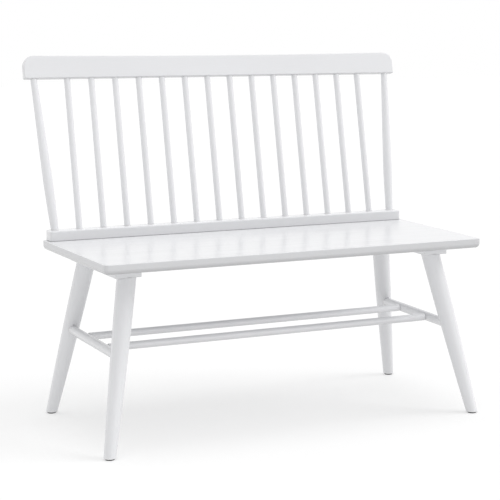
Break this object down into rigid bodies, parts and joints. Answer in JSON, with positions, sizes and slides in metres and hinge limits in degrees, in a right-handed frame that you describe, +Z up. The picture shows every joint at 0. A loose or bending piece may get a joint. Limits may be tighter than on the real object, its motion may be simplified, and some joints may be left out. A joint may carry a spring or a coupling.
{
  "type": "deacons bench",
  "caption": "Long wooden bench with a flat plank seat, a leaning spindle back between two rails, and splayed round legs joined by round stretchers.",
  "frame": {"origin": "on the floor, under the middle of the bench's overall box", "axes": "+X along the bench, to the right as seen from the front, +Y to the back, +Z up"},
  "size_m": [1.0538, 0.5442, 0.9082],
  "materials": {
    "white_paint": "solid hardwood under a smooth white satin paint",
    "black_plastic": "moulded black plastic",
    "zinc_steel": "zinc plated"
  },
  "bodies": {
    "root": {"seat": "white_paint", "shoe_rail": "white_paint", "crest_rail": "white_paint", "spindle_1": "white_paint", "spindle_2": "white_paint", "spindle_3": "white_paint", "spindle_4": "white_paint", "spindle_5": "white_paint", "spindle_6": "white_paint", "spindle_7": "white_paint", "spindle_8": "white_paint", "spindle_9": "white_paint", "spindle_10": "white_paint", "spindle_11": "white_paint", "spindle_12": "white_paint", "spindle_13": "white_paint", "spindle_14": "white_paint", "left_back_post": "white_paint", "right_back_post": "white_paint", "left_cleat": "white_paint", "right_cleat": "white_paint", "front_left_leg": "white_paint", "rear_left_leg": "white_paint", "front_right_leg": "white_paint", "rear_right_leg": "white_paint", "left_side_stretcher": "white_paint", "right_side_stretcher": "white_paint", "front_long_stretcher": "white_paint", "rear_long_stretcher": "white_paint", "front_left_glide": "black_plastic", "rear_left_glide": "black_plastic", "front_right_glide": "black_plastic", "rear_right_glide": "black_plastic", "left_cleat_screw_1": "zinc_steel", "left_cleat_screw_2": "zinc_steel", "left_cleat_screw_3": "zinc_steel", "left_cleat_screw_4": "zinc_steel", "right_cleat_screw_1": "zinc_steel", "right_cleat_screw_2": "zinc_steel", "right_cleat_screw_3": "zinc_steel", "right_cleat_screw_4": "zinc_steel", "shoe_rail_screw_1": "zinc_steel", "shoe_rail_screw_2": "zinc_steel", "shoe_rail_screw_3": "zinc_steel", "shoe_rail_screw_4": "zinc_steel", "shoe_rail_screw_5": "zinc_steel"}
  },
  "joints": []
}
